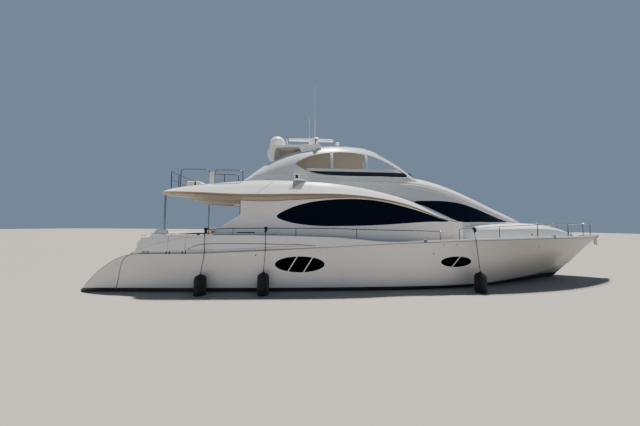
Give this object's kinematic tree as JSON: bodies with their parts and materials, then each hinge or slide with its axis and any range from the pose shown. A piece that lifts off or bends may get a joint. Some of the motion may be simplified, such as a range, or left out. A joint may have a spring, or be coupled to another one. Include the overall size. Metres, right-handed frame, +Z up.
{
  "type": "motor yacht",
  "caption": "Open-flybridge motor yacht with a swept deckhouse, rounded hardtop, overhanging boat deck, flared bow, aft cockpit and twin shafts",
  "frame": {"origin": "amidships on the centreline, at the waterline", "axes": "+X to the bow, +Y to port, +Z up"},
  "size_m": [25.12, 6.3368, 10.7236],
  "materials": {
    "hull_white": "glossy off-white gelcoat, a dark waterline stripe and dark antifouling below",
    "gelcoat": "glossy white gelcoat with fine wear",
    "teak": "weathered planks with dark seams",
    "tinted_acrylic": "smoked, smooth",
    "dark_glass": "nearly black tinted glass, smooth",
    "dash_grey": "matte",
    "dome_white": "smooth semi-gloss",
    "stainless": "polished",
    "cover_fabric": "white vinyl-coated cloth",
    "bronze": "dull cast bronze",
    "fender_cover": "black knitted cover"
  },
  "bodies": {
    "yacht": {"hull": "hull_white", "swim_platform": "teak", "transom": "gelcoat", "bulwark_port": "gelcoat", "bulwark_starboard": "gelcoat", "foredeck_trunk": "gelcoat", "saloon_side_port": "gelcoat", "saloon_side_starboard": "gelcoat", "saloon_window_port": "dark_glass", "saloon_window_starboard": "dark_glass", "saloon_bulkhead": "gelcoat", "saloon_aft_glass": "dark_glass", "wheelhouse": "gelcoat", "wheelhouse_window_port": "dark_glass", "wheelhouse_window_starboard": "dark_glass", "windscreen": "dark_glass", "helm_dash": "dash_grey", "fly_deck": "gelcoat", "fly_coaming_port": "gelcoat", "fly_coaming_starboard": "gelcoat", "hardtop": "gelcoat", "side_screen_port": "tinted_acrylic", "side_screen_starboard": "tinted_acrylic", "fly_windscreen": "tinted_acrylic", "mast": "gelcoat", "satellite_dome": "dome_white", "fly_rail_port": "stainless", "fly_rail_starboard": "stainless", "fly_rail_aft": "stainless", "inner_rail_port": "stainless", "inner_rail_starboard": "stainless", "fly_stair": "gelcoat", "overhang_post_port": "stainless", "overhang_post_starboard": "stainless", "side_rail_port": "stainless", "side_rail_starboard": "stainless", "bow_rail": "stainless", "windlass": "stainless", "anchor": "stainless", "cockpit_settee": "cover_fabric", "cockpit_table": "teak", "fly_helm": "gelcoat", "helm_seat": "cover_fabric", "fly_settee": "cover_fabric", "fly_box": "cover_fabric", "shaft_port": "stainless", "shaft_starboard": "stainless", "fender_aft": "fender_cover", "fender_middle": "fender_cover", "fender_fore": "fender_cover"},
    "gate_port": {"boarding_gate_port": "gelcoat"},
    "gate_starboard": {"boarding_gate_starboard": "gelcoat"},
    "transom_door": {"transom_door": "gelcoat"},
    "foredeck_hatch": {"foredeck_hatch": "tinted_acrylic"},
    "saloon_door": {"saloon_door": "dark_glass"},
    "radar_scanner": {"radar_scanner": "dome_white"},
    "propeller_port": {"propeller_port": "bronze"},
    "propeller_starboard": {"propeller_starboard": "bronze"},
    "rudder_port": {"rudder_port": "bronze"},
    "rudder_starboard": {"rudder_starboard": "bronze"}
  },
  "joints": [
    {"name": "gate_port_hinge", "type": "hinge", "parent": "yacht", "child": "gate_port", "pos_m": [-8.404, 2.672, 1.95], "axis": [0, 0, 1], "range_deg": [0, 95]},
    {"name": "gate_starboard_hinge", "type": "hinge", "parent": "yacht", "child": "gate_starboard", "pos_m": [-8.404, -2.672, 1.95], "axis": [0, 0, 1], "range_deg": [-95, 0]},
    {"name": "transom_door_hinge", "type": "hinge", "parent": "yacht", "child": "transom_door", "pos_m": [-11.3059, 0.366, 0.755], "axis": [0, 0, -1], "range_deg": [0, 100]},
    {"name": "foredeck_hatch_hinge", "type": "hinge", "parent": "yacht", "child": "foredeck_hatch", "pos_m": [8.752, 0, 2.7716], "axis": [0, -1, 0], "range_deg": [0, 80]},
    {"name": "saloon_door_slide", "type": "slide", "parent": "yacht", "child": "saloon_door", "axis": [0, 1, 0], "range_m": [0, 0.95]},
    {"name": "radar_scanner_turn", "type": "hinge", "parent": "yacht", "child": "radar_scanner", "pos_m": [-3.4, 0, 7.25], "axis": [0, 0, 1], "continuous": true},
    {"name": "propeller_port_turn", "type": "hinge", "parent": "yacht", "child": "propeller_port", "pos_m": [-10.25, 1.15, -1.01], "axis": [0.9945, 0, 0.1044], "continuous": true},
    {"name": "propeller_starboard_turn", "type": "hinge", "parent": "yacht", "child": "propeller_starboard", "pos_m": [-10.25, -1.15, -1.01], "axis": [0.9945, 0, 0.1044], "continuous": true},
    {"name": "rudder_port_turn", "type": "hinge", "parent": "yacht", "child": "rudder_port", "pos_m": [-11.05, 1.15, -0.9], "axis": [0, 0, 1], "range_deg": [-35, 35]},
    {"name": "rudder_starboard_turn", "type": "hinge", "parent": "yacht", "child": "rudder_starboard", "pos_m": [-11.05, -1.15, -0.9], "axis": [0, 0, 1], "range_deg": [-35, 35]}
  ]
}
